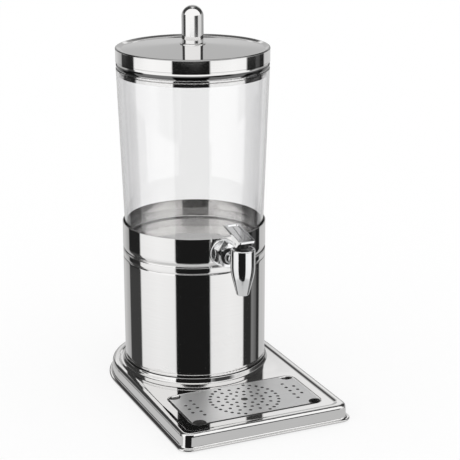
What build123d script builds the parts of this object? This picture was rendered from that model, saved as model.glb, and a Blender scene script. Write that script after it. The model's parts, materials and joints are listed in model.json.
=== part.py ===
from build123d import *
import math
import os

# A buffet juice dispenser: a pressed base with a drip well, a polished column that holds a
# cooling pack, and a lift-off unit on top of it, made of a collar bowl, a clear tapered
# container, a lid with a knob and a spring-closed tap with a paddle lever.
# Millimetres, Z up, the tap in front towards -Y. The origin is on the table, under the
# middle of the base.

# Base plate, one sheet pressed into a rim, a floor, a drip well and a boss
base_width = 212.0
base_length = 320.5
base_height = 19.6
base_sheet = 1.2
lip_lift = 0.8
lip_height = 2.6
lip_reach = 3.4
lip_corner = 14.0
lip_round = 1.17
lip_hollow = 1.8
wall_lean = 1.0
wall_corner = 12.0
rim_round = 4.0
rim_width = 7.4
rim_step = 1.2
step_run = 3.0
step_round = 4.5
floor_corner = 8.5
boss_rise = 6.0
boss_margin = 1.6
boss_flare = 1.0
boss_round = 0.8
boss_cove = 1.2
boss_skirt = 4.0
boss_hole_radius = 50.0
well_width = 160.5
well_length = 84.0
well_depth = 10.9
well_corner = 10.0
well_setback = 26.5
well_edge_round = 1.8
well_floor_round = 0.7

# Rubber feet under the base
foot_radius = 7.0
foot_inset = 13.5
foot_round = 1.5

# Drip grille, a punched plate with turned-down edges that stand in the well
grille_clearance = 0.9
grille_sheet = 1.0
grille_proud = 0.5
grille_hole_radius = 2.05
grille_centre_hole_radius = 4.0
grille_ring_radii = (12.7, 21.4, 30.5, 39.6)
grille_ring_counts = (8, 16, 16, 32)
grille_ring_half_steps = (True, False, True, False)
grille_ring_limit = 0.93
side_hole_pitch = 10.4
side_hole_reaches = (58.5, 68.5)
side_hole_counts = (5, 3)
scoop_radius = 8.0
scoop_inset_x = 7.3
scoop_inset_y = 2.7

# Column, a polished tube with a bead at its foot and an in-turned mouth
column_radius = 85.6
column_height = 136.4
column_sheet = 1.0
column_bead = 0.7
column_bead_height = 3.8
column_bead_round = 0.8
column_groove = 0.35
column_groove_height = 1.0
shoulder_height = 7.6
shoulder_groove = 0.45
shoulder_groove_height = 1.1
column_mouth_round = 0.6
mouth_radius = 80.5

# Foot ring and screws that hold the column to the boss
foot_ring_inner_radius = 56.0
foot_ring_thickness = 5.2
foot_ring_upstand = 12.0
foot_ring_wall = 3.0
weld_gap = 0.05
screw_count = 4
screw_start = 45.0
screw_radius = 2.0
screw_head_radius = 3.8
screw_head_height = 2.4
screw_head_round = 1.0
screw_slot_width = 1.0
screw_bite = 3.6
screw_circle_radius = 75.0
screw_clearance = 0.2
thread_clearance = 0.05

# Cooling pack that stands inside the column
pack_radius = 70.0
pack_height = 126.0
pack_round = 8.0
pack_dish_radius = 30.0
pack_dish_depth = 12.0
pack_cap_radius = 16.0
pack_cap_height = 8.0
pack_cap_ribs = 24
pack_cap_rib_radius = 0.8
pack_waist_depth = 2.0
pack_waist_height = 10.0
pack_waist_count = 3

# Collar bowl that carries the container, with its locating ring
bowl_radius = 85.7
bowl_height = 35.0
bowl_sheet = 1.0
bowl_floor_rise = 12.7
bowl_floor_round = 2.5
bowl_rim_round = 0.4
bowl_rim_inner_round = 0.3
bowl_foot_round = 0.3
bowl_foot_height = 2.0
bowl_groove = 0.6
bowl_groove_height = 3.1
bowl_groove_round = 0.5
ring_clearance = 0.6
ring_sheet = 1.2
ring_round = 0.5
ring_depth = 12.0

# Clear container and its seal
container_length = 205.2
container_foot_radius = 82.4
container_rim_radius = 89.7
container_wall = 2.5
container_rim_round = 0.8
seal_thickness = 1.5
seal_rise = 11.0
seal_gap = 0.1

# Lid, its inner ring and its knob
lid_radius = 90.0
lid_sheet = 1.0
lid_crease_height = 21.8
lid_crease_radius = 83.5
lid_crease_round = 3.0
lid_dome = 5.0
lid_crown_reach = 18.0
lid_crown_round = 60.0
lid_rim_rise = 2.76
lid_edge_round = 1.5
lid_bead_height = 7.5
lid_bead_inset = 1.2
lid_bead_crest = 0.1
lid_bead_round = 8.0
lid_seat_reach = 3.1
lid_ring_drop = 7.9
lid_ring_band = 4.0
lid_ring_waist = 1.0
lid_ring_clearance = 0.8
knob_radius = 12.6
knob_height = 43.5
knob_foot_round = 0.8
knob_washer_radius = 15.1
knob_washer_thickness = 1.0
knob_washer_round = 0.4
knob_screw_radius = 2.5
knob_screw_bite = 14.0
knob_screw_head_radius = 4.6
knob_screw_head_height = 2.8
knob_screw_head_round = 1.1
knob_screw_socket_depth = 1.7
knob_inner_washer_radius = 8.0
knob_inner_washer_thickness = 1.2

# Tap outlet: stub, rosette, gasket and union
tap_rise = 5.0
tap_reach = 54.9
outlet_bore_radius = 3.4
spigot_radius = 4.6
spigot_clearance = 0.1
stub_radius = 8.4
stub_length = 12.3
stub_clearance = 0.3
rosette_radius = 16.3
rosette_gap = 0.5
rosette_depth = 2.9
rosette_round = 1.2
gasket_radius = 11.4
gasket_squeeze = 0.05
nut_across_flats = 26.0
nut_length = 14.4
nut_chamfer = 0.96
nut_lip = 1.5
nut_recess = 1.6
bush_radius = 9.7
bush_thickness = 1.4
bush_round = 0.56
union_washer_thickness = 0.9
neck_flange_thickness = 0.9
neck_radius = 6.3
neck_ring_radius = 7.3
neck_ring_length = 3.0
neck_ring_round = 0.75
neck_ring_gap = 2.0
neck_root_radius = 9.0
neck_root_length = 8.0
neck_root_round = 6.4
neck_root_bite = 2.4

# Tap barrel, its cap and bonnet
barrel_radius = 13.9
barrel_top_rise = 9.1
barrel_waist_drop = 7.0
barrel_bend_radius = 60.0
nozzle_drop = 34.1
nozzle_radius = 6.9
nozzle_round = 2.0
nozzle_bore_radius = 4.2
valve_seat_drop = 12.0
chamber_radius = 9.5
cap_height = 11.4
cap_round = 1.5
cap_lip = 1.0
cap_mouth_radius = 11.0
bonnet_radius = 11.7
bonnet_drop = 3.6
fit_clearance = 0.15

# Valve: stem, head, seal and spring
stem_radius = 2.5
stem_fit = 0.08
stem_collar_radius = 6.0
stem_collar_height = 1.2
stem_collar_rise = 2.3
stem_grip = 5.0
valve_seal_radius = 6.8
valve_seal_thickness = 2.4
head_radius = 6.2
head_drop = 5.3
head_rise = 3.3
head_round = 0.8
spring_radius = 4.6
spring_wire_radius = 0.5
spring_turns = 5
spring_end_gap = 0.05

# Paddle lever and its pin
pin_rise = 6.5
pin_radius = 1.5
pin_fit = 0.06
paddle_tilt = 11.3
paddle_width = 19.0
paddle_front = 11.6
paddle_rear = 33.4
paddle_top = 7.4
paddle_thickness = 2.5
paddle_corner = 2.0
paddle_edge_round = 0.6
paddle_border = 3.0
paddle_recess = 1.0
front_lip = 3.6
rear_lip = 2.6
spear_width = 6.0
spear_tip_width = 1.2
spear_height = 0.7
spear_margin = 3.0
cheek_thickness = 2.8
cheek_rear = 14.0
cheek_front = 10.0
cheek_boss_radius = 4.2
cheek_drop = 2.5
nose_reach = 10.5
nose_drop = 6.3
nose_radius = 2.0
nose_round = 1.96
nose_width = 8.0

# Levels, from the table up
floor_level = base_height - rim_step
well_floor_level = floor_level - well_depth
boss_level = floor_level + boss_rise
column_top = boss_level + column_height
bowl_floor_level = column_top + bowl_floor_rise
bowl_rim = column_top + bowl_height
container_foot = bowl_floor_level + seal_thickness
container_top = container_foot + container_length
lid_crease = container_top + lid_crease_height
lid_crown = lid_crease + lid_dome
knob_foot = lid_crown + knob_washer_thickness
tap_level = bowl_floor_level + tap_rise
barrel_top = tap_level + barrel_top_rise
cap_top = barrel_top + cap_height
pin_level = cap_top + pin_rise
seat_level = tap_level - valve_seat_drop
nozzle_tip = tap_level - nozzle_drop
bonnet_foot = barrel_top - bonnet_drop

# Places, measured from the column's axis
column_y = base_length / 2 - base_width / 2
base_front = base_width / 2 - base_length
well_y = base_front + well_setback + well_length / 2
column_inner_radius = column_radius - column_sheet
bowl_inner_radius = bowl_radius - bowl_sheet
barrel_y = -bowl_radius - tap_reach
bowl_neck_radius = bowl_radius - bowl_groove
boss_radius = column_radius + boss_margin
rosette_front = bowl_radius + rosette_depth
stub_end = bowl_radius + stub_length
nut_front = rosette_front + nut_length
nut_lip_front = nut_front - nut_recess
neck_start = stub_end + union_washer_thickness

tiny = 1e-6
level_slack = 0.001


def polygon_face(points):
    """Face inside straight runs; a third value on a point rounds that corner by that radius."""
    count = len(points)
    corners = []
    for index, point in enumerate(points):
        here = Vector(point[0], point[1])
        to_last = (Vector(*points[index - 1][:2]) - here).normalized()
        to_next = (Vector(*points[(index + 1) % count][:2]) - here).normalized()
        radius = point[2] if len(point) > 2 else 0
        if radius < tiny:
            corners.append((here, here, here))
            continue
        half = math.radians(to_last.get_angle(to_next)) / 2
        reach = radius / math.tan(half)
        centre = here + (to_last + to_next).normalized() * (radius / math.sin(half))
        middle = centre + (here - centre).normalized() * radius
        corners.append((here + to_last * reach, middle, here + to_next * reach))
    edges = []
    for index, (start, middle, end) in enumerate(corners):
        if (end - start).length > tiny:
            edges.append(ThreePointArc(start, middle, end))
        next_start = corners[(index + 1) % count][0]
        if (next_start - end).length > tiny:
            edges.append(Line(end, next_start))
    return make_face(edges)


def turned(points):
    """Solid turned about the column's axis from an outline of (radius, height) points."""
    return revolve(Plane.XZ * polygon_face(points), Axis.Z)


def turned_forward(points, level):
    """Solid turned about the tap's level axis from (radius, distance to the front) points."""
    solid = revolve(Plane.XZ * polygon_face(points), Axis.Z)
    return Pos(0, 0, level) * Rot(90, 0, 0) * solid


def on_barrel(shape):
    """Move a shape from the column's axis to the tap barrel's axis."""
    return Pos(0, barrel_y, 0) * shape


def rod(radius, low, high):
    """Upright round bar between two levels."""
    return Pos(0, 0, low) * Cylinder(radius, high - low, align=(Align.CENTER, Align.CENTER, Align.MIN))


def forward_rod(radius, near, far, level):
    """Level round bar that points to the front, between two distances."""
    return Pos(0, 0, level) * Rot(90, 0, 0) * rod(radius, near, far)


def rounded_plan(width, length, corner, low, high):
    """Upright block with rounded corners."""
    return extrude(Pos(0, 0, low) * RectangleRounded(width, length, corner), high - low)


def base_outline(inset, corner, level):
    """The base's plan: a half circle behind, straight sides and two rounded front corners."""
    half = base_width / 2 - inset
    front = base_front + inset
    bend = corner * (1 - math.sqrt(0.5))
    edges = [
        ThreePointArc((half, 0), (0, half), (-half, 0)),
        Line((-half, 0), (-half, front + corner)),
        ThreePointArc((-half, front + corner), (-half + bend, front + bend), (-half + corner, front)),
        Line((-half + corner, front), (half - corner, front)),
        ThreePointArc((half - corner, front), (half - bend, front + bend), (half, front + corner)),
        Line((half, front + corner), (half, 0)),
    ]
    return Pos(0, 0, level) * make_face(edges)


def edges_at(shape, level, inset):
    """Edges that lie at one level, further in from the lip than an inset."""
    half = base_width / 2 - inset
    front = base_front + inset
    found = []
    for edge in shape.edges():
        low = edge.bounding_box().min
        high = edge.bounding_box().max
        is_level = abs(low.Z - level) < level_slack and abs(high.Z - level) < level_slack
        if is_level and -half < low.X and high.X < half and front < low.Y and high.Y < half:
            found.append(edge)
    return found


def screw_places():
    """Where the column's screws stand, evenly round the boss."""
    angles = [screw_start + 360 / screw_count * step for step in range(screw_count)]
    return [Rot(0, 0, angle) * Pos(screw_circle_radius, 0, 0) for angle in angles]


def foot_places():
    """Two feet in the front corners and two behind, on the half circle."""
    side = base_width / 2 - foot_inset
    front = base_front + foot_inset
    diagonal = side * math.sqrt(0.5)
    return [Pos(-side, front), Pos(side, front), Pos(-diagonal, diagonal), Pos(diagonal, diagonal)]


def make_base_plate():
    """Rim, floor, drip well and boss of one sheet, hollow underneath."""
    wall_foot = lip_reach
    wall_top = lip_reach + wall_lean
    step_start = wall_top + rim_width
    lip_top = lip_lift + lip_height
    lip = extrude(base_outline(0, lip_corner, lip_lift), lip_height)
    lip_edges = lip.faces().sort_by(Axis.Z)[0].edges() + lip.faces().sort_by(Axis.Z)[-1].edges()
    lip = fillet(lip_edges, lip_round)
    wall = loft(
        [
            base_outline(wall_foot, wall_corner, lip_lift),
            base_outline(wall_top, wall_corner, base_height),
        ],
        ruled=True,
    )
    wall = fillet(wall.faces().sort_by(Axis.Z)[-1].edges(), rim_round)
    plate = lip + wall
    plate = fillet(edges_at(plate, lip_top, lip_reach / 2), lip_hollow)
    pan = loft(
        [
            base_outline(step_start, floor_corner + step_run, base_height),
            base_outline(step_start + step_run, floor_corner, floor_level),
        ],
        ruled=True,
    )
    plate = plate - fillet(pan.faces().sort_by(Axis.Z)[0].edges(), step_round)
    plate = fillet(edges_at(plate, base_height, step_start - level_slack), step_round)
    boss = turned(
        [
            (0, floor_level - base_sheet),
            (boss_radius + boss_skirt, floor_level - base_sheet),
            (boss_radius + boss_skirt, floor_level),
            (boss_radius + boss_flare, floor_level, boss_cove),
            (boss_radius, boss_level, boss_round),
            (0, boss_level),
        ]
    )
    plate = plate + boss
    well = rounded_plan(well_width, well_length, well_corner, well_floor_level, base_height)
    well = Pos(0, well_y, 0) * fillet(well.faces().sort_by(Axis.Z)[0].edges(), well_floor_round)
    well_shell = rounded_plan(
        well_width + 2 * base_sheet,
        well_length + 2 * base_sheet,
        well_corner + base_sheet,
        well_floor_level - base_sheet,
        base_height,
    )
    hollow = loft(
        [
            base_outline(wall_foot + base_sheet, wall_corner - base_sheet, 0),
            base_outline(wall_top + base_sheet, wall_corner - base_sheet, floor_level - base_sheet),
        ],
        ruled=True,
    )
    hollow = hollow - Pos(0, well_y, 0) * well_shell
    boss_hollow = Pos(0, 0, floor_level - base_sheet) * Cone(
        boss_radius + boss_flare - base_sheet,
        boss_radius - base_sheet,
        boss_rise,
        align=(Align.CENTER, Align.CENTER, Align.MIN),
    )
    plate = plate - well
    plate = plate - hollow
    plate = plate - boss_hollow
    plate = plate - rod(boss_hole_radius, 0, boss_level + base_sheet)
    for place in screw_places():
        plate = plate - place * rod(screw_radius + screw_clearance, 0, boss_level + base_sheet)
    well_back = well_y + well_length / 2
    well_edges = [
        edge
        for edge in edges_at(plate, floor_level, step_start + step_run + level_slack)
        if edge.bounding_box().max.Y < well_back + level_slack
    ]
    return fillet(well_edges, well_edge_round)


def make_rubber_feet():
    """Four rubber pillars from the table to the floor's underside."""
    pillar = rod(foot_radius, 0, floor_level - base_sheet)
    pillar = fillet(pillar.faces().sort_by(Axis.Z)[0].edges(), foot_round)
    return Compound(children=[place * pillar for place in foot_places()])


def make_drip_grille():
    """Punched plate with turned-down edges and a finger scoop at each corner."""
    width = well_width - 2 * grille_clearance
    length = well_length - 2 * grille_clearance
    corner = well_corner - grille_clearance
    top = floor_level + grille_proud
    grille = rounded_plan(width, length, corner, well_floor_level, top)
    inside = rounded_plan(
        width - 2 * grille_sheet,
        length - 2 * grille_sheet,
        corner - grille_sheet,
        well_floor_level - grille_sheet,
        top - grille_sheet,
    )
    grille = grille - inside
    holes = [Pos(0, 0) * Circle(grille_centre_hole_radius)]
    for radius, count, half_step in zip(grille_ring_radii, grille_ring_counts, grille_ring_half_steps):
        start = 0.5 if half_step else 0
        for step in range(round(count)):
            angle = math.radians(360 / round(count) * (step + start))
            x = radius * math.cos(angle)
            y = radius * math.sin(angle)
            if abs(y) < length / 2 * grille_ring_limit:
                holes.append(Pos(x, y) * Circle(grille_hole_radius))
    for across, count in zip(side_hole_reaches, side_hole_counts):
        for step in range(round(count)):
            y = (step - (count - 1) / 2) * side_hole_pitch
            holes.append(Pos(across, y) * Circle(grille_hole_radius))
            holes.append(Pos(-across, y) * Circle(grille_hole_radius))
    for side_x in (-1, 1):
        for side_y in (-1, 1):
            x = side_x * (width / 2 - scoop_inset_x)
            y = side_y * (length / 2 - scoop_inset_y)
            holes.append(Pos(x, y) * Circle(scoop_radius))
    punched = extrude(Pos(0, 0, well_floor_level - grille_sheet) * Sketch(children=holes), well_depth * 2)
    return Pos(0, well_y, 0) * (grille - punched)


def make_column():
    """Polished tube: foot bead, groove, straight wall, fine shoulder groove and in-turned mouth."""
    bead_top = boss_level + column_bead_height
    groove_top = bead_top + column_groove_height
    shoulder_foot = column_top - shoulder_height
    bead_radius = column_radius + column_bead
    return turned(
        [
            (column_inner_radius, boss_level),
            (bead_radius, boss_level, column_bead_round),
            (bead_radius, bead_top, column_bead_round),
            (column_radius - column_groove, bead_top),
            (column_radius - column_groove, groove_top),
            (column_radius, groove_top),
            (column_radius, shoulder_foot - shoulder_groove_height / 2),
            (column_radius - shoulder_groove, shoulder_foot),
            (column_radius, shoulder_foot + shoulder_groove_height / 2),
            (column_radius, column_top, column_mouth_round),
            (mouth_radius, column_top),
            (mouth_radius, column_top - column_sheet),
            (column_inner_radius, column_top - column_sheet),
        ]
    )


def make_column_foot_ring():
    """Angle ring welded inside the column's foot, which takes the screws and carries the pack."""
    outer = column_inner_radius - weld_gap
    flange_top = boss_level + foot_ring_thickness
    ring = turned(
        [
            (foot_ring_inner_radius, boss_level),
            (outer, boss_level),
            (outer, flange_top + foot_ring_upstand),
            (outer - foot_ring_wall, flange_top + foot_ring_upstand),
            (outer - foot_ring_wall, flange_top),
            (foot_ring_inner_radius, flange_top),
        ]
    )
    for place in screw_places():
        ring = ring - place * rod(screw_radius + thread_clearance, boss_level, flange_top)
    return ring


def make_column_screws():
    """Pan-head screws from under the boss into the foot ring."""
    seat = boss_level - base_sheet - weld_gap
    slot = Box(screw_head_radius * 2, screw_slot_width, screw_head_height)
    slot = Pos(0, 0, seat - screw_head_height) * slot
    screw = turned(
        [
            (0, seat - screw_head_height),
            (screw_head_radius, seat - screw_head_height, screw_head_round),
            (screw_head_radius, seat),
            (screw_radius, seat),
            (screw_radius, boss_level + screw_bite),
            (0, boss_level + screw_bite),
        ]
    )
    screw = screw - slot
    return Compound(children=[place * screw for place in screw_places()])


def pack_levels():
    """Foot and top of the cooling pack, which stands on the foot ring."""
    foot = boss_level + foot_ring_thickness
    return foot, foot + pack_height


def make_cooling_pack():
    """Blow-moulded pack with grip waists and a dished top round its filler cap."""
    foot, top = pack_levels()
    points = [(0, foot), (pack_radius, foot, pack_round)]
    for step in range(pack_waist_count):
        middle = foot + pack_height * (step + 1) / (pack_waist_count + 1)
        points.append((pack_radius, middle - pack_waist_height / 2))
        points.append((pack_radius - pack_waist_depth, middle, pack_waist_height / 2))
        points.append((pack_radius, middle + pack_waist_height / 2))
    points.append((pack_radius, top, pack_round))
    points.append((pack_dish_radius, top))
    points.append((pack_dish_radius, top - pack_dish_depth))
    points.append((0, top - pack_dish_depth))
    return turned(points)


def make_cooling_pack_cap():
    """Ribbed filler cap in the pack's dish."""
    foot = pack_levels()[1] - pack_dish_depth
    cap = rod(pack_cap_radius, foot, foot + pack_cap_height)
    cap = fillet(cap.faces().sort_by(Axis.Z)[-1].edges(), pack_cap_rib_radius)
    for step in range(pack_cap_ribs):
        groove = Pos(pack_cap_radius, 0, 0) * rod(pack_cap_rib_radius, foot, foot + pack_cap_height)
        cap = cap - Rot(0, 0, 360 / pack_cap_ribs * step) * groove
    return cap


def outlet_hole(radius):
    """Round hole for the tap's spigot, forward through the wall."""
    return forward_rod(radius, 0, bowl_radius + rosette_gap, tap_level)


def make_bowl():
    """Collar with a raised floor, a shadow groove above its foot and an in-turned foot flange."""
    groove_foot = column_top + bowl_foot_height
    groove_top = groove_foot + bowl_groove_height
    neck_inner_radius = bowl_neck_radius - bowl_sheet
    bowl = turned(
        [
            (0, bowl_floor_level),
            (bowl_inner_radius, bowl_floor_level, bowl_floor_round),
            (bowl_inner_radius, bowl_rim, bowl_rim_inner_round),
            (bowl_radius, bowl_rim, bowl_rim_round),
            (bowl_radius, groove_top, bowl_groove_round),
            (bowl_neck_radius, groove_top),
            (bowl_neck_radius, groove_foot),
            (column_radius, groove_foot, bowl_groove_round),
            (column_radius, column_top, bowl_foot_round),
            (mouth_radius, column_top),
            (mouth_radius, column_top + bowl_sheet),
            (neck_inner_radius, column_top + bowl_sheet),
            (neck_inner_radius, groove_top + bowl_sheet),
            (bowl_inner_radius, groove_top + bowl_sheet),
            (bowl_inner_radius, bowl_floor_level - bowl_sheet),
            (0, bowl_floor_level - bowl_sheet),
        ]
    )
    return bowl - outlet_hole(spigot_radius + spigot_clearance)


def make_locating_ring():
    """Angle ring on the bowl's foot flange that drops into the column's mouth."""
    outer = mouth_radius - ring_clearance
    flange = column_top + bowl_sheet
    flange_radius = bowl_neck_radius - bowl_sheet - ring_clearance
    return turned(
        [
            (outer - ring_sheet, column_top - ring_depth),
            (outer, column_top - ring_depth, ring_round),
            (outer, flange),
            (flange_radius, flange),
            (flange_radius, flange + ring_sheet),
            (outer - ring_sheet, flange + ring_sheet),
        ]
    )


def container_radius_at(level):
    """The container's outer radius at a level."""
    share = (level - container_foot) / container_length
    return container_foot_radius + (container_rim_radius - container_foot_radius) * share


def make_container():
    """Clear tapered tube, open at both ends, with a hole for the spigot."""
    tube = turned(
        [
            (container_foot_radius - container_wall, container_foot),
            (container_foot_radius, container_foot),
            (container_rim_radius, container_top, container_rim_round),
            (container_rim_radius - container_wall, container_top, container_rim_round),
        ]
    )
    return tube - outlet_hole(spigot_radius + spigot_clearance)


def make_container_seal():
    """Rubber angle ring under and round the container's foot."""
    outer = bowl_inner_radius - seal_gap
    top = bowl_floor_level + seal_rise
    inner = container_radius_at(top) + seal_gap
    seal = turned(
        [
            (container_foot_radius - container_wall, bowl_floor_level),
            (outer, bowl_floor_level, bowl_floor_round + seal_gap),
            (outer, top),
            (inner, top),
            (inner, container_foot),
            (container_foot_radius - container_wall, container_foot),
        ]
    )
    return seal - outlet_hole(spigot_radius + spigot_clearance)


def make_outlet_stub():
    """Threaded stub seated on the collar, with a spigot through the wall."""
    spigot_start = container_radius_at(tap_level) - container_wall
    stub = forward_rod(stub_radius, 0, stub_end, tap_level)
    stub = stub - rod(bowl_radius + gasket_squeeze, 0, bowl_rim * 2)
    stub = stub + forward_rod(spigot_radius, spigot_start, stub_end, tap_level)
    return stub - forward_rod(outlet_bore_radius, 0, stub_end, tap_level)


def make_rosette():
    """Bright washer round the stub, hollowed behind to lie on the collar."""
    hole = stub_radius + stub_clearance
    ring = turned_forward(
        [
            (hole, 0),
            (rosette_radius, 0),
            (rosette_radius, rosette_front, rosette_round),
            (hole, rosette_front),
        ],
        tap_level,
    )
    return ring - rod(bowl_radius + rosette_gap, 0, bowl_rim * 2)


def make_rosette_gasket():
    """Thin rubber ring between the collar and the rosette."""
    hole = stub_radius + stub_clearance
    ring = forward_rod(gasket_radius, 0, rosette_front, tap_level)
    ring = ring - forward_rod(hole, 0, rosette_front, tap_level)
    sleeve = rod(bowl_radius + rosette_gap - gasket_squeeze, 0, bowl_rim * 2)
    sleeve = sleeve - rod(bowl_radius + gasket_squeeze, 0, bowl_rim * 2)
    return ring & sleeve


def make_union_nut():
    """Hexagon union nut with its upright flats at the sides."""
    corner_radius = nut_across_flats / math.sqrt(3)
    hexagon = extrude(RegularPolygon(corner_radius, 6, rotation=90), nut_length)
    hexagon = Pos(0, 0, tap_level) * Rot(90, 0, 0) * (Pos(0, 0, rosette_front) * hexagon)
    face_radius = nut_across_flats / 2
    rounding = turned_forward(
        [
            (0, rosette_front),
            (face_radius, rosette_front),
            (corner_radius, rosette_front + nut_chamfer),
            (corner_radius, nut_front - nut_chamfer),
            (face_radius, nut_front),
            (0, nut_front),
        ],
        tap_level,
    )
    nut = hexagon & rounding
    nut = nut - forward_rod(stub_radius + fit_clearance, 0, nut_lip_front - nut_lip, tap_level)
    nut = nut - forward_rod(neck_radius + stub_clearance, 0, nut_front, tap_level)
    return nut - forward_rod(bush_radius + fit_clearance, nut_lip_front, nut_front, tap_level)


def make_neck_bush():
    """Black bush that fills the nut's front round the tap's neck."""
    return turned_forward(
        [
            (neck_radius + fit_clearance, nut_lip_front),
            (bush_radius, nut_lip_front),
            (bush_radius, nut_lip_front + bush_thickness, bush_round),
            (neck_radius + fit_clearance, nut_lip_front + bush_thickness),
        ],
        tap_level,
    )


def make_union_washer():
    """Flat seal between the stub's end and the neck's flange."""
    return turned_forward(
        [
            (outlet_bore_radius, stub_end),
            (stub_radius, stub_end),
            (stub_radius, neck_start),
            (outlet_bore_radius, neck_start),
        ],
        tap_level,
    )


def make_tap_body():
    """Barrel with a tapered nozzle and a level neck, bored for the valve."""
    barrel = turned(
        [
            (0, nozzle_tip),
            (nozzle_radius, nozzle_tip, nozzle_round),
            (barrel_radius, tap_level - barrel_waist_drop, barrel_bend_radius),
            (barrel_radius, barrel_top),
            (0, barrel_top),
        ]
    )
    ring_start = nut_front + neck_ring_gap
    root_start = -barrel_y - barrel_radius - neck_root_length
    neck = turned_forward(
        [
            (0, neck_start),
            (stub_radius, neck_start),
            (stub_radius, neck_start + neck_flange_thickness),
            (neck_radius, neck_start + neck_flange_thickness),
            (neck_radius, ring_start),
            (neck_ring_radius, ring_start, neck_ring_round),
            (neck_ring_radius, ring_start + neck_ring_length, neck_ring_round),
            (neck_radius, ring_start + neck_ring_length),
            (neck_radius, root_start, neck_root_round),
            (neck_root_radius, -barrel_y - barrel_radius + neck_root_bite),
            (neck_root_radius, -barrel_y),
            (0, -barrel_y),
        ],
        tap_level,
    )
    body = on_barrel(barrel) + neck
    body = body - on_barrel(rod(chamber_radius, seat_level, barrel_top))
    body = body - on_barrel(rod(nozzle_bore_radius, nozzle_tip, seat_level))
    return body - forward_rod(outlet_bore_radius, 0, -barrel_y, tap_level)


def make_tap_cap():
    """Bright ring that holds the bonnet down on the barrel."""
    inner = bonnet_radius + fit_clearance
    ring = turned(
        [
            (inner, barrel_top),
            (barrel_radius, barrel_top),
            (barrel_radius, cap_top, cap_round),
            (cap_mouth_radius, cap_top),
            (cap_mouth_radius, cap_top - cap_lip),
            (inner, cap_top - cap_lip),
        ]
    )
    return on_barrel(ring)


def make_bonnet():
    """Black guide for the stem, clamped between the barrel and the cap."""
    guide = stem_radius + stem_fit
    plug = turned(
        [
            (guide, bonnet_foot),
            (chamber_radius - fit_clearance, bonnet_foot),
            (chamber_radius - fit_clearance, barrel_top),
            (bonnet_radius, barrel_top),
            (bonnet_radius, cap_top - cap_lip),
            (guide, cap_top - cap_lip),
        ]
    )
    return on_barrel(plug)


def stem_levels():
    """Foot of the stem, top of its spring collar and top of its shank."""
    foot = seat_level + valve_seal_thickness
    collar_top = seat_level + valve_seal_thickness + stem_collar_rise
    shank_top = pin_level - head_drop + stem_grip - pin_radius
    return foot, collar_top, shank_top


def make_valve_stem():
    """Steel stem with a collar that the spring presses on."""
    foot, collar_top, shank_top = stem_levels()
    stem = turned(
        [
            (0, foot),
            (stem_radius, foot),
            (stem_radius, collar_top - stem_collar_height),
            (stem_collar_radius, collar_top - stem_collar_height),
            (stem_collar_radius, collar_top),
            (stem_radius, collar_top),
            (stem_radius, shank_top),
            (0, shank_top),
        ]
    )
    stem = on_barrel(stem)
    return stem - lever_axis_rod(pin_radius + pin_fit, head_radius * 2)


def make_valve_seal():
    """Flat rubber disc that closes the seat."""
    return on_barrel(rod(valve_seal_radius, seat_level, seat_level + valve_seal_thickness))


def lever_axis_rod(radius, length):
    """Level bar across the tap, on the lever's axis."""
    return Pos(0, barrel_y, pin_level) * Rot(0, 90, 0) * Cylinder(radius, length)


def make_stem_head():
    """Black head on the stem, bored across for the lever's pin."""
    shank_top = stem_levels()[2]
    head = rod(head_radius, pin_level - head_drop, pin_level + head_rise)
    head = fillet(head.faces().sort_by(Axis.Z)[-1].edges(), head_round)
    head = on_barrel(head - rod(stem_radius + thread_clearance, 0, shank_top))
    return head - lever_axis_rod(pin_radius + pin_fit, head_radius * 4)


def quarter_turn(start, start_way, end, end_way):
    """Two arcs that leave one point along a direction and reach another along a second."""
    across = end - start
    square = 2 * (1 - start_way.dot(end_way))
    linear = 2 * across.dot(start_way + end_way)
    reach = (math.sqrt(linear * linear + 4 * square * across.dot(across)) - linear) / (2 * square)
    joint = (start + end + (start_way - end_way) * reach) * 0.5
    first = TangentArc(start, joint, tangent=start_way)
    second = TangentArc(joint, end, tangent=first % 1)
    return [first, second]


def make_valve_spring():
    """Round wire wound between the stem's collar and the bonnet."""
    low = stem_levels()[1] + spring_wire_radius + spring_end_gap
    high = bonnet_foot - spring_wire_radius - spring_end_gap
    quarters = spring_turns * 4
    climb = (high - low) / (spring_turns * 2 * math.pi)

    def place(angle):
        return Vector(spring_radius * math.cos(angle), spring_radius * math.sin(angle), low + climb * angle)

    def way(angle):
        return Vector(-spring_radius * math.sin(angle), spring_radius * math.cos(angle), climb).normalized()

    edges = []
    for step in range(quarters):
        first = step * math.pi / 2
        last = (step + 1) * math.pi / 2
        edges += quarter_turn(place(first), way(first), place(last), way(last))
    path = Wire(edges)
    section = Plane(origin=path @ 0, z_dir=path % 0) * Circle(spring_wire_radius)
    spring = sweep(section, path=path)
    pitch = (high - low) / spring_turns
    least_gap = pitch - 2 * spring_wire_radius
    print("spring: pitch", round(pitch, 2), "least gap between turns", round(least_gap, 2))
    return on_barrel(spring)


def in_lever(shape):
    """Move a shape from the lever's own frame, with its pin at the origin, to its place."""
    return Pos(0, barrel_y, pin_level) * Rot(paddle_tilt, 0, 0) * shape


def upright_plate(points, thickness):
    """Plate that stands along the lever, from (along, up) points, centred across it."""
    face = Plane.YZ * polygon_face(points)
    return extrude(face, thickness / 2, both=True)


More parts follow.
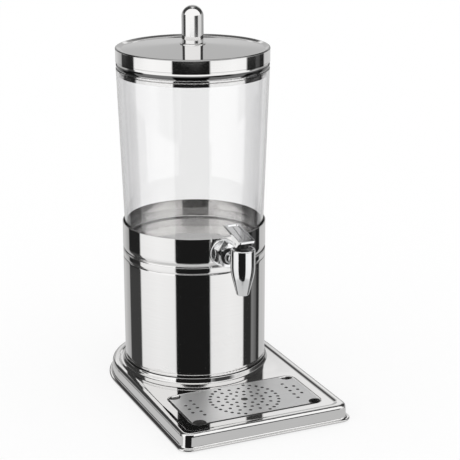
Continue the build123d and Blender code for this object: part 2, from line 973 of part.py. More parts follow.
def make_lever():
    """Paddle with a recessed top and a spear rib, two cheeks and a lifting nose."""
    length = paddle_front + paddle_rear
    middle = (paddle_rear - paddle_front) / 2
    under = paddle_top - paddle_thickness
    paddle = Pos(0, middle, 0) * rounded_plan(paddle_width, length, paddle_corner, under, paddle_top)
    paddle = fillet(paddle.faces().sort_by(Axis.Z)[-1].edges(), paddle_edge_round)
    floor = paddle_top - paddle_recess
    recess_length = length - front_lip - rear_lip
    recess_middle = middle + (front_lip - rear_lip) / 2
    recess_width = paddle_width - 2 * paddle_border
    recess = rounded_plan(recess_width, recess_length, paddle_corner, floor, paddle_top + paddle_recess)
    paddle = paddle - Pos(0, recess_middle, 0) * recess
    spear_start = recess_middle - recess_length / 2
    spear_end = recess_middle + recess_length / 2 - spear_margin
    spear = polygon_face(
        [
            (-spear_width / 2, spear_start),
            (spear_width / 2, spear_start),
            (spear_tip_width / 2, spear_end),
            (-spear_tip_width / 2, spear_end),
        ]
    )
    paddle = paddle + extrude(Pos(0, 0, floor) * spear, spear_height)
    cheek = upright_plate(
        [
            (-cheek_front, under),
            (-cheek_boss_radius, -cheek_drop),
            (cheek_boss_radius, -cheek_drop),
            (cheek_rear, under),
        ],
        cheek_thickness,
    )
    cheek = cheek + Rot(0, 90, 0) * Cylinder(cheek_boss_radius, cheek_thickness)
    side = (paddle_width - cheek_thickness) / 2
    nose = upright_plate(
        [
            (nose_reach - nose_radius, under),
            (nose_reach - nose_radius, -nose_drop - nose_radius, nose_round),
            (nose_reach + nose_radius, -nose_drop - nose_radius, nose_round),
            (nose_reach + nose_radius, under),
        ],
        nose_width,
    )
    lever = paddle + Pos(-side, 0, 0) * cheek + Pos(side, 0, 0) * cheek + nose
    lever = lever - Rot(0, 90, 0) * Cylinder(pin_radius + thread_clearance, paddle_width * 2)
    return in_lever(lever)


def make_lever_pin():
    """Pin through the cheeks and the stem's head."""
    return lever_axis_rod(pin_radius, paddle_width)


def make_lid():
    """Lid with a low cone, a raised rim, a skirt, a bead under it and an in-turned seat."""
    bead_top = container_top + lid_bead_height
    bead_middle = container_top + lid_bead_height / 2
    bead_edge = lid_radius - lid_bead_inset
    inner = bead_edge - lid_sheet
    skirt_inner = lid_radius - lid_sheet
    seat_inner = lid_radius - lid_seat_reach
    seat_top = container_top + lid_sheet
    rim_slope = lid_rim_rise / (lid_radius - lid_crease_radius)
    rim_under = lid_crease - lid_sheet + rim_slope * (skirt_inner - lid_crease_radius)
    lid = turned(
        [
            (0, lid_crown),
            (lid_crown_reach, lid_crown, lid_crown_round),
            (lid_crease_radius, lid_crease, lid_crease_round),
            (lid_radius, lid_crease + lid_rim_rise, lid_edge_round),
            (lid_radius, bead_top),
            (bead_edge, bead_top),
            (lid_radius - lid_bead_crest, bead_middle, lid_bead_round),
            (bead_edge, container_top),
            (seat_inner, container_top),
            (seat_inner, seat_top),
            (inner, seat_top),
            (inner, bead_top + lid_sheet),
            (skirt_inner, bead_top + lid_sheet),
            (skirt_inner, rim_under, lid_edge_round - lid_sheet),
            (lid_crease_radius, lid_crease - lid_sheet, lid_crease_round + lid_sheet),
            (lid_crown_reach, lid_crown - lid_sheet, lid_crown_round - lid_sheet),
            (0, lid_crown - lid_sheet),
        ]
    )
    return lid - rod(knob_screw_radius + screw_clearance, lid_crease, lid_crown + lid_sheet)


def make_lid_inner_ring():
    """Angle ring on the lid's seat, with a proud band that centres the lid inside the container."""
    foot = container_top - lid_ring_drop
    band_top = foot + lid_ring_band
    rim_inner = container_radius_at(foot) - container_wall
    outer = rim_inner - lid_ring_clearance
    waist = outer - lid_ring_waist
    seat_top = container_top + lid_sheet
    shoulder = lid_radius - lid_bead_inset - lid_sheet - lid_ring_clearance / 2
    return turned(
        [
            (waist - lid_sheet, foot),
            (outer, foot),
            (outer, band_top),
            (waist, band_top + lid_ring_waist),
            (waist, seat_top),
            (shoulder, seat_top),
            (shoulder, seat_top + lid_sheet),
            (waist - lid_sheet, seat_top + lid_sheet),
        ]
    )


def make_knob():
    """Round-nosed knob, bored for its screw."""
    knob = turned(
        [
            (0, knob_foot),
            (knob_radius, knob_foot, knob_foot_round),
            (knob_radius, knob_foot + knob_height, knob_radius - level_slack),
            (0, knob_foot + knob_height),
        ]
    )
    return knob - rod(knob_screw_radius + thread_clearance, knob_foot, knob_foot + knob_screw_bite)


def make_knob_washer():
    """Bright washer under the knob."""
    washer = rod(knob_washer_radius, lid_crown, knob_foot)
    washer = fillet(washer.faces().sort_by(Axis.Z)[-1].edges(), knob_washer_round)
    return washer - rod(knob_screw_radius + screw_clearance, lid_crown, knob_foot)


def make_knob_inner_washer():
    """Washer inside the lid, under the screw's head."""
    top = lid_crown - lid_sheet
    washer = rod(knob_inner_washer_radius, top - knob_inner_washer_thickness, top)
    return washer - rod(knob_screw_radius + screw_clearance, 0, top)


def make_knob_screw():
    """Screw from inside the lid up into the knob."""
    seat = lid_crown - lid_sheet - knob_inner_washer_thickness
    head_foot = seat - knob_screw_head_height
    screw = turned(
        [
            (0, head_foot),
            (knob_screw_head_radius, head_foot, knob_screw_head_round),
            (knob_screw_head_radius, seat),
            (knob_screw_radius, seat),
            (knob_screw_radius, knob_foot + knob_screw_bite - knob_foot_round),
            (0, knob_foot + knob_screw_bite - knob_foot_round),
        ]
    )
    socket = extrude(Pos(0, 0, head_foot) * RegularPolygon(knob_screw_radius, 6), knob_screw_socket_depth)
    return screw - socket


pieces = {
    "base_plate": make_base_plate,
    "rubber_feet": make_rubber_feet,
    "drip_grille": make_drip_grille,
    "column": make_column,
    "column_foot_ring": make_column_foot_ring,
    "column_screws": make_column_screws,
    "cooling_pack": make_cooling_pack,
    "cooling_pack_cap": make_cooling_pack_cap,
    "bowl": make_bowl,
    "locating_ring": make_locating_ring,
    "container": make_container,
    "container_seal": make_container_seal,
    "outlet_stub": make_outlet_stub,
    "rosette": make_rosette,
    "rosette_gasket": make_rosette_gasket,
    "union_nut": make_union_nut,
    "neck_bush": make_neck_bush,
    "union_washer": make_union_washer,
    "tap_body": make_tap_body,
    "tap_cap": make_tap_cap,
    "bonnet": make_bonnet,
    "valve_stem": make_valve_stem,
    "stem_head": make_stem_head,
    "valve_seal": make_valve_seal,
    "valve_spring": make_valve_spring,
    "lever": make_lever,
    "lever_pin": make_lever_pin,
    "lid": make_lid,
    "lid_inner_ring": make_lid_inner_ring,
    "knob": make_knob,
    "knob_washer": make_knob_washer,
    "knob_inner_washer": make_knob_inner_washer,
    "knob_screw": make_knob_screw,
}

os.makedirs("parts", exist_ok=True)
for name, make in pieces.items():
    export_step(Pos(0, column_y, 0) * make(), f"parts/{name}.step")
print("pieces:", len(pieces), "height:", round(knob_foot + knob_height, 2))
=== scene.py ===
# %% [markdown]
# # A buffet juice dispenser, dressed for its portrait
# The frame holds every piece of the dispenser at its real size: a pressed base with a drip well, a polished
# column, a collar bowl with a tap, a clear container and a lid with a knob. This lesson gives each surface
# its finish and sets the studio that makes polished steel look like polished steel.

# %% Load the frame
import json
import math

import bpy
from mathutils import Euler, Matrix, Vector


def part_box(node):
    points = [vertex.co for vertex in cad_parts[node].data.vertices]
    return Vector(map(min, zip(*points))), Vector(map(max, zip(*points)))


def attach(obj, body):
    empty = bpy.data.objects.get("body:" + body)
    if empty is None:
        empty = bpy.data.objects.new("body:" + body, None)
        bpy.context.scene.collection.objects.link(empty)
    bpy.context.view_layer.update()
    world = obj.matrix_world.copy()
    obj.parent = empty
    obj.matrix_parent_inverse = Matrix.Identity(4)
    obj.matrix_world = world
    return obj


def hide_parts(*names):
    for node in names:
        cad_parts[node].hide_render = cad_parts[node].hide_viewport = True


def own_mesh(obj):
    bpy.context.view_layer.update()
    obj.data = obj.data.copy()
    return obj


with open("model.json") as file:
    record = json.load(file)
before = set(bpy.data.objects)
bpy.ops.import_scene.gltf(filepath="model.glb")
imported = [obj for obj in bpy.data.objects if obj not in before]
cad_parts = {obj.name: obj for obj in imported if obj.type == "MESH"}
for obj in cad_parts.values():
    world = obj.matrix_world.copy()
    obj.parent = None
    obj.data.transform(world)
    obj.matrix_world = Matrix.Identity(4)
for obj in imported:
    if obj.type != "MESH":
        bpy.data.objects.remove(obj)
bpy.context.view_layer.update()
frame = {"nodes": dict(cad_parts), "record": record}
nodes = frame["nodes"]
print("pieces in the frame:", len(nodes))

# %% [markdown]
# ## Where the camera stands
# The view is from the front left, a little above the lid, with a long lens, so that upright edges stay
# upright. A camera could be aimed with a constraint, but a place and two angles say the same and never
# change.

# %% Camera
CAMERA_PLACE = Vector((-0.6268, -1.4499, 0.6846))
CAMERA_PITCH = math.radians(17.18)
CAMERA_TURN = math.radians(24.14)
CAMERA_LENS = 110.73
SENSOR_WIDTH = 36.0

camera_data = bpy.data.cameras.new("camera")
camera_data.lens = CAMERA_LENS
camera_data.sensor_width = SENSOR_WIDTH
camera = bpy.data.objects.new("camera", camera_data)
camera.location = CAMERA_PLACE
camera.rotation_euler = Euler((math.pi / 2 - CAMERA_PITCH, 0, -CAMERA_TURN))
bpy.context.scene.collection.objects.link(camera)
bpy.context.scene.camera = camera
bpy.context.scene.view_settings.view_transform = "Standard"
print("camera at", [round(value, 3) for value in camera.location])

# %% [markdown]
# ## Small helpers for node trees
# Every finish below is a node tree. It could be drawn by hand as boxes and wires, but then nobody could read
# it here. A few small helpers write it down in short lines instead: they add a node with its settings, feed
# an input with a wire or a number, and give back a sum, an eased step, a ramp of greys or a mix.

# %% Node helpers
MIX_NUMBERS = slice(2, 4)


def add_node(tree, kind, **settings):
    """Add a node and set its properties by name."""
    node = tree.nodes.new(kind)
    for name, value in settings.items():
        setattr(node, name, value)
    return node


def feed(tree, socket, value):
    """Link a socket to an input, or set the input to a plain value."""
    if isinstance(value, bpy.types.NodeSocket):
        tree.links.new(value, socket)
    else:
        socket.default_value = value


def calc(tree, operation, *values):
    """Add one math node and return its result."""
    node = add_node(tree, "ShaderNodeMath", operation=operation)
    for socket, value in zip(node.inputs, values):
        feed(tree, socket, value)
    return node.outputs[0]


def steps(tree, value, low, high, from_value=0.0, to_value=1.0):
    """Ease from one value to another while the input goes from low to high."""
    node = add_node(tree, "ShaderNodeMapRange", interpolation_type="SMOOTHSTEP")
    for socket, number in zip(node.inputs, (value, low, high, from_value, to_value)):
        feed(tree, socket, number)
    return node.outputs[0]


def ramp(tree, value, stops):
    """Add a grey ramp from (place, brightness) stops."""
    node = add_node(tree, "ShaderNodeValToRGB")
    feed(tree, node.inputs["Fac"], value)
    elements = node.color_ramp.elements
    while len(elements) < len(stops):
        elements.new(1.0)
    for element, (place, bright) in zip(elements, stops):
        element.position = place
        element.color = (bright, bright, bright, 1)
    return node.outputs["Color"]


def blend(tree, share, first, second):
    """Mix two values by a share."""
    node = add_node(tree, "ShaderNodeMix", data_type="FLOAT")
    feed(tree, node.inputs[0], share)
    for socket, value in zip(node.inputs[MIX_NUMBERS], (first, second)):
        feed(tree, socket, value)
    return node.outputs[0]


print("helpers ready")

# %% [markdown]
# ## The studio
# Polished steel has no look of its own: it shows the room. Such a portrait is shot in a white tent with a
# black card at the camera, a white card each side of it and a dark flag beyond each white card, and those
# make the upright black and white stripes on the column. Real cards could be hung as planes, but they would
# stand in the way of other views, so the sky holds them: a pattern by direction, in rows one above the
# other. A stop of the cards is an angle in degrees right of the camera and a brightness. A row of the sky is
# the height in degrees where it starts to show, the height where it is whole, its cards, and the brightness
# behind the object.

# %% Cards in the sky
STRIPE_CARDS = (
    (-150, 0.58), (-130, 0.44), (-127, 0.055), (-97, 0.055), (-94, 0.93), (-60, 1.0), (-30, 0.97),
    (-28, 0.014), (25.5, 0.014), (27.5, 0.95), (60, 1.0), (86, 0.95), (88.5, 0.03), (105, 0.03),
    (108, 0.24), (120, 0.13), (123, 0.03), (130, 0.03), (133, 0.58),
)
UPPER_CARDS = (
    (-150, 0.58), (-130, 0.40), (-127, 0.018), (-97, 0.018), (-94, 0.93), (-60, 1.0), (-30, 0.97),
    (-28, 0.014), (25.5, 0.014), (27.5, 0.95), (60, 1.0), (86, 0.95), (89, 0.016), (106, 0.016),
    (109, 0.07), (117, 0.06), (120, 0.016), (130, 0.016), (133, 0.58),
)
KNOB_CARDS = (
    (-150, 0.42), (-135, 0.40), (-115, 0.40), (-108, 0.05), (-80, 0.05), (-74, 1.0), (14, 1.0),
    (24, 0.36), (33, 0.05), (56, 0.05), (66, 0.70), (100, 0.70), (118, 0.30), (150, 0.42),
)
FLAG_CARDS = ((-152, 0.045), (-97, 0.055), (-93, 1.0), (93, 1.0), (97, 0.05), (152, 0.05))
TENT_CARDS = ((-156, 0.45), *FLAG_CARDS, (156, 0.45))
GAP_CARDS = ((-166, 0.10), *FLAG_CARDS, (166, 0.10))
SKY_ROWS = (
    (-44, -36, STRIPE_CARDS, 0.58),
    (-18.7, -18.4, UPPER_CARDS, 0.58),
    (-9.85, -9.55, KNOB_CARDS, 0.10),
    (-0.5, 1.0, KNOB_CARDS, 0.52),
    (6, 12, TENT_CARDS, 0.45),
    (20.5, 23, TENT_CARDS, 0.82),
    (25, 27.5, GAP_CARDS, 0.47),
    (41, 44, TENT_CARDS, 0.10),
    (52, 60, TENT_CARDS, 0.62),
)
print("rows of cards:", len(SKY_ROWS))

# %% [markdown]
# ## The sky
# Only reflections may see the cards. Everything else is lit by an even white sky, which is also what the
# camera sees. A picture could be wrapped round the scene for this, but a ramp for each row has sharper edges
# and can be read. Below the rows lies the table, and the light falls off a little towards it.

# %% Sky
TOWARD_CAMERA = (-math.sin(CAMERA_TURN), -math.cos(CAMERA_TURN), 0)
RIGHT_OF_CAMERA = (math.cos(CAMERA_TURN), -math.sin(CAMERA_TURN), 0)
TABLE_LIGHT = 0.66
LOW_LIGHT = 1.03
HIGH_LIGHT = 1.20
LIGHT_FALL = (-26, -9)
FULL_TURN = 360
HALF_TURN = 180
REAR_FADE = 4


def round_horizon(tree, turn, cards, rear):
    """Ramp round the horizon from stops in degrees right of the camera, one value behind the object."""
    start = cards[0][0] - REAR_FADE
    end = cards[-1][0] + REAR_FADE
    stops = [(-HALF_TURN, rear), (start, rear), *cards, (end, rear), (HALF_TURN, rear)]
    return ramp(tree, turn, [(angle / FULL_TURN + 0.5, bright) for angle, bright in stops])


def seen_in_mirror(tree):
    """One for a reflection, also where clear plastic lies in its way, and nought for any other ray."""
    path = add_node(tree, "ShaderNodeLightPath")
    return calc(tree, "MINIMUM", path.outputs["Glossy Depth"], 1.0)


def build_sky():
    """White for the camera, even light for dull surfaces, cards for reflections."""
    sky = bpy.data.worlds.new("studio")
    sky.use_nodes = True
    sky.cycles.sampling_method = "NONE"
    tree = sky.node_tree
    tree.nodes.clear()
    way = add_node(tree, "ShaderNodeTexCoord").outputs["Generated"]
    parts = []
    for axis in (TOWARD_CAMERA, RIGHT_OF_CAMERA, (0, 0, 1)):
        dot = add_node(tree, "ShaderNodeVectorMath", operation="DOT_PRODUCT")
        feed(tree, dot.inputs[0], way)
        dot.inputs[1].default_value = axis
        parts.append(dot.outputs["Value"])
    toward, right, up = parts
    turn = calc(tree, "MULTIPLY_ADD", calc(tree, "ARCTAN2", right, toward), 1 / math.tau, 0.5)
    rise = calc(tree, "MULTIPLY", calc(tree, "ARCSINE", up), math.degrees(1))
    light = TABLE_LIGHT
    for low, high, cards, rear in SKY_ROWS:
        light = blend(tree, steps(tree, rise, low, high), light, round_horizon(tree, turn, cards, rear))
    light = calc(tree, "MULTIPLY", light, steps(tree, rise, *LIGHT_FALL, LOW_LIGHT, HIGH_LIGHT))
    background = add_node(tree, "ShaderNodeBackground")
    background.inputs["Color"].default_value = (1, 1, 1, 1)
    feed(tree, background.inputs["Strength"], blend(tree, seen_in_mirror(tree), 1.0, light))
    output = add_node(tree, "ShaderNodeOutputWorld")
    tree.links.new(background.outputs[0], output.inputs["Surface"])
    bpy.context.scene.world = sky


build_sky()
print("sky built with", len(SKY_ROWS), "rows of cards")

# %% [markdown]
# ## Sheets for the stage
# The table and the black card are flat sheets that aren't part of the dispenser. Each shows one shader to
# some rays and another to the rest. Visibility switches alone could do that for whole sheets, but they forget
# that a ray is a reflection once it has gone through the clear container, so the materials ask as well.

# %% Stage helpers
def hide_from(piece, *rays):
    """Keep some kinds of rays from seeing a piece."""
    for ray in rays:
        setattr(piece, "visible_" + ray, False)


def flat_sheet(name, corners, material, unseen_by):
    """Flat stage piece from corner points, hidden from some kinds of rays."""
    mesh = bpy.data.meshes.new(name)
    mesh.from_pydata([Vector(corner) for corner in corners], [], [range(len(corners))])
    mesh.materials.append(material)
    sheet = bpy.data.objects.new(name, mesh)
    bpy.context.scene.collection.objects.link(sheet)
    hide_from(sheet, *unseen_by)


def bare_material(name):
    """New material with an empty tree; returns both."""
    material = bpy.data.materials.new(name)
    material.use_nodes = True
    material.node_tree.nodes.clear()
    return material, material.node_tree


def show_either(tree, share, first, second):
    """Close a material with the first shader, or with the second where the share is one."""
    either = add_node(tree, "ShaderNodeMixShader")
    feed(tree, either.inputs["Fac"], share)
    tree.links.new(first.outputs[0], either.inputs[1])
    tree.links.new(second.outputs[0], either.inputs[2])
    output = add_node(tree, "ShaderNodeOutputMaterial")
    tree.links.new(either.outputs[0], output.inputs["Surface"])


print("stage helpers ready")

# %% [markdown]
# ## The table top
# The dispenser stands on plain white. One large sheet takes its shadow and glows by itself where the camera
# looks, so that it is white away from the shadow. A plain sheet would hide the lower half of the cards from
# the steel, so this one lets every reflection through.

# %% Floor
FLOOR_REACH = 14.0
FLOOR_WHITE = 0.30
FLOOR_DROP = 0.0002
FLOOR_CORNERS = ((-1, -1), (1, -1), (1, 1), (-1, 1))


def floor_material():
    """White card that shows the shadow, is plain white away from it and lets reflections through."""
    material, tree = bare_material("table_white")
    dull = add_node(tree, "ShaderNodeBsdfDiffuse")
    dull.inputs["Color"].default_value = (FLOOR_WHITE, FLOOR_WHITE, FLOOR_WHITE, 1)
    glow = add_node(tree, "ShaderNodeEmission")
    path = add_node(tree, "ShaderNodeLightPath")
    seen = calc(tree, "MAXIMUM", path.outputs["Is Camera Ray"], path.outputs["Is Transmission Ray"])
    feed(tree, glow.inputs["Strength"], calc(tree, "MULTIPLY", seen, 1 - FLOOR_WHITE))
    total = add_node(tree, "ShaderNodeAddShader")
    tree.links.new(dull.outputs[0], total.inputs[0])
    tree.links.new(glow.outputs[0], total.inputs[1])
    show_either(tree, seen_in_mirror(tree), total, add_node(tree, "ShaderNodeBsdfTransparent"))
    return material


floor_edge = [(x * FLOOR_REACH, y * FLOOR_REACH, -FLOOR_DROP) for x, y in FLOOR_CORNERS]
flat_sheet("floor", floor_edge, floor_material(), ("glossy",))
print("floor reaches", FLOOR_REACH, "m")

# %% [markdown]
# ## The table beside the base
# The foot of the base mirrors the table right beside it. A grey sheet stands for that. Only reflections see
# it, and only from close by, so that it makes no mark on the column. The sheet leaves out the front left
# corner, because the rounded corner of the base mirrors the dark beyond the table there.

# %% Strip
STRIP_WIDTH = 0.07
STRIP_GREY = 0.62
STRIP_SIGHT = 0.065
STRIP_NOTCH = 0.012


def strip_material():
    """Grey card that only reflections see, and only from close by."""
    material, tree = bare_material("table_strip")
    glow = add_node(tree, "ShaderNodeEmission")
    glow.inputs["Strength"].default_value = STRIP_GREY
    path = add_node(tree, "ShaderNodeLightPath")
    far = calc(tree, "GREATER_THAN", path.outputs["Ray Length"], STRIP_SIGHT)
    show_either(tree, far, glow, add_node(tree, "ShaderNodeBsdfTransparent"))
    return material


base_low, base_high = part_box("base_plate")
strip_left = base_low.x - STRIP_WIDTH
strip_right = base_high.x + STRIP_WIDTH
strip_front = base_low.y - STRIP_WIDTH
strip_rear = base_high.y + STRIP_WIDTH
notch_x = base_low.x + STRIP_NOTCH
notch_y = base_low.y + STRIP_NOTCH
strip_edge = [
    (notch_x, strip_front, 0), (strip_right, strip_front, 0), (strip_right, strip_rear, 0),
    (strip_left, strip_rear, 0), (strip_left, notch_y, 0), (notch_x, notch_y, 0),
]
flat_sheet("table_strip", strip_edge, strip_material(), ("camera", "diffuse", "transmission", "shadow"))
print("strip is", STRIP_WIDTH, "m wide round the base")

# %% [markdown]
# ## The black card
# The cards in the sky are endlessly far away, so every height of the dispenser sees them alike. The black
# card in front is close in the real studio: the base and the collar look up at it, while the knob looks over
# its top edge. So this one card stands on the stage as a sheet. It could be a plain black plane, but then it
# would show through the clear container from behind, so its material lets through every ray that isn't a
# reflection.

# %% Black card
CARD_DISTANCE = 0.42
CARD_LEFT = -0.2015
CARD_RIGHT = 0.1794
CARD_TOP = 0.343
CARD_FOOT = -0.15
CARD_BLACK = 0.013


def card_material():
    """Black to reflections, clear to everything else."""
    material, tree = bare_material("black_card")
    black = add_node(tree, "ShaderNodeEmission")
    black.inputs["Strength"].default_value = CARD_BLACK
    show_either(tree, seen_in_mirror(tree), add_node(tree, "ShaderNodeBsdfTransparent"), black)
    return material


column_low, column_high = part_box("column")
column_middle = (column_low + column_high) / 2
card_middle = column_middle + Vector(TOWARD_CAMERA) * CARD_DISTANCE
card_edge = []
for across, levels in ((CARD_LEFT, (CARD_TOP, CARD_FOOT)), (CARD_RIGHT, (CARD_FOOT, CARD_TOP))):
    place = card_middle + Vector(RIGHT_OF_CAMERA) * across
    card_edge += [(place.x, place.y, level) for level in levels]
flat_sheet("black_card", card_edge, card_material(), ("camera", "diffuse", "shadow"))
print("card stands", CARD_DISTANCE, "m in front of the column's axis")

# %% [markdown]
# ## Effects that several finishes share
# Real surfaces differ in small ways all over: a hand has wiped across the steel, a polishing wheel has left
# fine rings, a press has left the sheet a little wavy, and a mould has left a grain in the plastic. Each
# effect is one node group with named inputs, so every finish can use it with its own values. Images could do
# the same, but they would need unwrapping and would blur when the camera comes close.

# %% Making an effect
groups = {}


def new_group(name, inputs, outputs):
    """Empty shader group with float or vector sockets; returns the group, its inputs and its outputs."""
    group = bpy.data.node_groups.new(name, "ShaderNodeTree")
    for socket_name in inputs:
        kind = "NodeSocketVector" if socket_name == "Place" else "NodeSocketFloat"
        group.interface.new_socket(socket_name, in_out="INPUT", socket_type=kind)
    for socket_name in outputs:
        group.interface.new_socket(socket_name, in_out="OUTPUT", socket_type="NodeSocketFloat")
    groups[name] = group
    return group, add_node(group, "NodeGroupInput").outputs, add_node(group, "NodeGroupOutput").inputs


def place_group(tree, group_name, **values):
    """Put a shared effect into a material with its own values, by socket name; returns its outputs."""
    node = add_node(tree, "ShaderNodeGroup", node_tree=groups[group_name])
    for socket_name, value in values.items():
        feed(tree, node.inputs[socket_name], value)
    return node.outputs


def noise(tree, place, scale, detail):
    """Noise between nought and one round a half."""
    node = add_node(tree, "ShaderNodeTexNoise")
    feed(tree, node.inputs["Vector"], place)
    feed(tree, node.inputs["Scale"], scale)
    node.inputs["Detail"].default_value = detail
    return node.outputs["Fac"]


def stretched(tree, place, factors):
    """Place multiplied along each axis."""
    node = add_node(tree, "ShaderNodeVectorMath", operation="MULTIPLY")
    feed(tree, node.inputs[0], place)
    node.inputs[1].default_value = factors
    return node.outputs[0]


print("ready to make effects")

# %% [markdown]
# ## Film and lines
# Hands and cloths leave a film in patches, drawn out in the direction of the wiping, and a film is rougher
# than clean metal. A wheel or a brush leaves lines. Both are noise: the film is patchy noise times streaky
# noise, and the lines are noise pressed almost flat along two axes. Scratches could be drawn one by one, but
# there are thousands.

# %% Film and lines
PATCH_EDGE = (0.48, 0.72)
WIPE_STRETCH = (3.0, 3.0, 0.5)
WIPE_EDGE = (0.35, 0.7)
LINE_STRETCH = (1.0, 0.012, 0.012)
LINE_EDGE = (0.25, 0.75)


def hand_marks_group():
    """Roughness that rises where hands and cloths have left a film."""
    group, given, result = new_group("hand_marks", ("Place", "Patches", "Clean", "Smeared"), ("Roughness",))
    patch = steps(group, noise(group, given["Place"], given["Patches"], detail=3.0), *PATCH_EDGE)
    wiped = noise(group, stretched(group, given["Place"], WIPE_STRETCH), given["Patches"], detail=5.0)
    share = calc(group, "MULTIPLY", patch, steps(group, wiped, *WIPE_EDGE))
    feed(group, result["Roughness"], blend(group, share, given["Clean"], given["Smeared"]))


def fine_lines_group():
    """Lines stacked along the first axis of Place, as a height and as a shade."""
    group, given, result = new_group("fine_lines", ("Place", "Density", "Depth"), ("Height", "Shade"))
    line = noise(group, stretched(group, given["Place"], LINE_STRETCH), given["Density"], detail=4.0)
    feed(group, result["Height"], calc(group, "MULTIPLY", line, given["Depth"]))
    feed(group, result["Shade"], steps(group, line, *LINE_EDGE))


hand_marks_group()
fine_lines_group()
print("shared effects:", ", ".join(groups))

# %% [markdown]
# ## Waves and grain
# Pressed sheet is never quite flat, and a mould leaves a fine grain with faint clouds in it. Modelling these
# would take millions of faces for a few thousandths of a millimetre, so they are heights for the shader.

# %% Waves and grain
CLOUD_DENSITY = 0.03
CLOUD_SHARE = 0.6


def sheet_waves_group():
    """Broad, shallow waves of pressed sheet, as a height."""
    group, given, result = new_group("sheet_waves", ("Place", "Waves", "Depth"), ("Height",))
    wave = noise(group, given["Place"], given["Waves"], detail=0.0)
    feed(group, result["Height"], calc(group, "MULTIPLY", wave, given["Depth"]))


def mould_grain_group():
    """Fine grain of moulded plastic or rubber, as a height and as a shade."""
    group, given, result = new_group("mould_grain", ("Place", "Grain", "Depth"), ("Height", "Shade"))
    grain = noise(group, given["Place"], given["Grain"], detail=2.0)
    clouds = calc(group, "MULTIPLY", given["Grain"], CLOUD_DENSITY)
    cloud = noise(group, given["Place"], clouds, detail=3.0)
    feed(group, result["Height"], calc(group, "MULTIPLY", grain, given["Depth"]))
    feed(group, result["Shade"], blend(group, CLOUD_SHARE, grain, cloud))


sheet_waves_group()
mould_grain_group()
print("shared effects:", ", ".join(groups))

# %% [markdown]
# ## Painted seam shade and rolled edges
# A seam is a thin band at one height, painted dark as painted shade where no light gets in. An edge that was
# rolled over in the press bends its reflection more and more towards its end. Both could be cut into the
# solids, which already have the larger grooves and rounds, but the finest ones are easier to tune as a mask
# and a height.

# %% Seams and rolled edges
def shade_band_group():
    """One where a measure lies between two limits, eased at both ends; masks the painted shade of grooves and
    seam lines.
    """
    group, given, result = new_group("shade_band", ("Measure", "Low", "High", "Soft"), ("Mask",))
    low_end = calc(group, "ADD", given["Low"], given["Soft"])
    high_start = calc(group, "SUBTRACT", given["High"], given["Soft"])
    above = steps(group, given["Measure"], given["Low"], low_end)
    below = steps(group, given["Measure"], high_start, given["High"], 1.0, 0.0)
    feed(group, result["Mask"], calc(group, "MULTIPLY", above, below))


def rolled_edge_group():
    """Height of a rounded-over edge: level away from it, falling off ever faster towards it."""
    group, given, result = new_group("rolled_edge", ("Measure", "Level", "Reach", "Depth"), ("Height",))
    away = calc(group, "ABSOLUTE", calc(group, "SUBTRACT", given["Measure"], given["Level"]))
    share = calc(group, "MINIMUM", calc(group, "DIVIDE", away, given["Reach"]), 1.0)
    near = calc(group, "SUBTRACT", 1.0, share)
    drop = calc(group, "MULTIPLY", calc(group, "MULTIPLY", near, near), given["Depth"])
    feed(group, result["Height"], calc(group, "MULTIPLY", drop, -1.0))


shade_band_group()
rolled_edge_group()
print("shared effects:", ", ".join(groups))

# %% [markdown]
# ## Measures on the object
# The finishes ask where they are: how high, how far from the column's axis, how far along the sheet. Object
# coordinates answer that and ride along when a piece moves, so a lifted lid keeps its seam and its polishing
# rings.

# %% Measures
AXIS_Y = column_middle.y


def vector(tree, *parts):
    """Vector from three values."""
    node = add_node(tree, "ShaderNodeCombineXYZ")
    for socket, value in zip(node.inputs, parts):
        feed(tree, socket, value)
    return node.outputs[0]


def measures(tree):
    """Object coordinates as a vector, its parts measured from the column's axis, and the distance from it."""
    place = add_node(tree, "ShaderNodeTexCoord").outputs["Object"]
    split = add_node(tree, "ShaderNodeSeparateXYZ")
    feed(tree, split.inputs[0], place)
    across, along, level = split.outputs
    along = calc(tree, "SUBTRACT", along, AXIS_Y)
    square = calc(tree, "MULTIPLY_ADD", along, along, calc(tree, "MULTIPLY", across, across))
    radius = calc(tree, "SQRT", square)
    total = calc(tree, "ADD", level, radius)
    return {"place": place, "x": across, "y": along, "z": level, "radius": radius, "sum": total}


print("column axis at y =", round(AXIS_Y, 5))

# %% [markdown]
# ## Starting a finish
# Every finish starts from the Principled shader that comes with a new material. Colours are mixed by a share,
# fine relief goes in as a bump, and a film goes in as roughness. Each material could wire these by itself,
# but shared helpers keep the finishes alike and short.

# %% Finish helpers
MIX_COLOURS = slice(6, 8)
MIXED_COLOUR = 2


def grey(value, warmth=0.0):
    """Grey colour, a little warmer or cooler."""
    return (value * (1 + warmth), value, value * (1 - warmth))


def two_greys(value, spread, warmth=0.0):
    """A darker and a lighter grey round a value."""
    return grey(value * (1 - spread), warmth), grey(value * (1 + spread), warmth)


def tint(tree, share, first, second):
    """Mix two colours, or sockets of colour, by a share."""
    node = add_node(tree, "ShaderNodeMix", data_type="RGBA")
    feed(tree, node.inputs[0], share)
    for socket, colour in zip(node.inputs[MIX_COLOURS], (first, second)):
        feed(tree, socket, colour if isinstance(colour, bpy.types.NodeSocket) else (*colour, 1))
    return node.outputs[MIXED_COLOUR]


def start_material(name):
    """New material; returns it, its tree, its Principled shader and the measures on the object."""
    material = bpy.data.materials.new(name)
    material.use_nodes = True
    tree = material.node_tree
    return material, tree, tree.nodes["Principled BSDF"], measures(tree)


def add_bump(tree, shader, *heights):
    """Tilt the surface by the sum of some heights in metres."""
    total = heights[0]
    for height in heights[1:]:
        total = calc(tree, "ADD", total, height)
    bump = add_node(tree, "ShaderNodeBump")
    bump.inputs["Strength"].default_value = 1.0
    bump.inputs["Distance"].default_value = 1.0
    feed(tree, bump.inputs["Height"], total)
    feed(tree, shader.inputs["Normal"], bump.outputs[0])


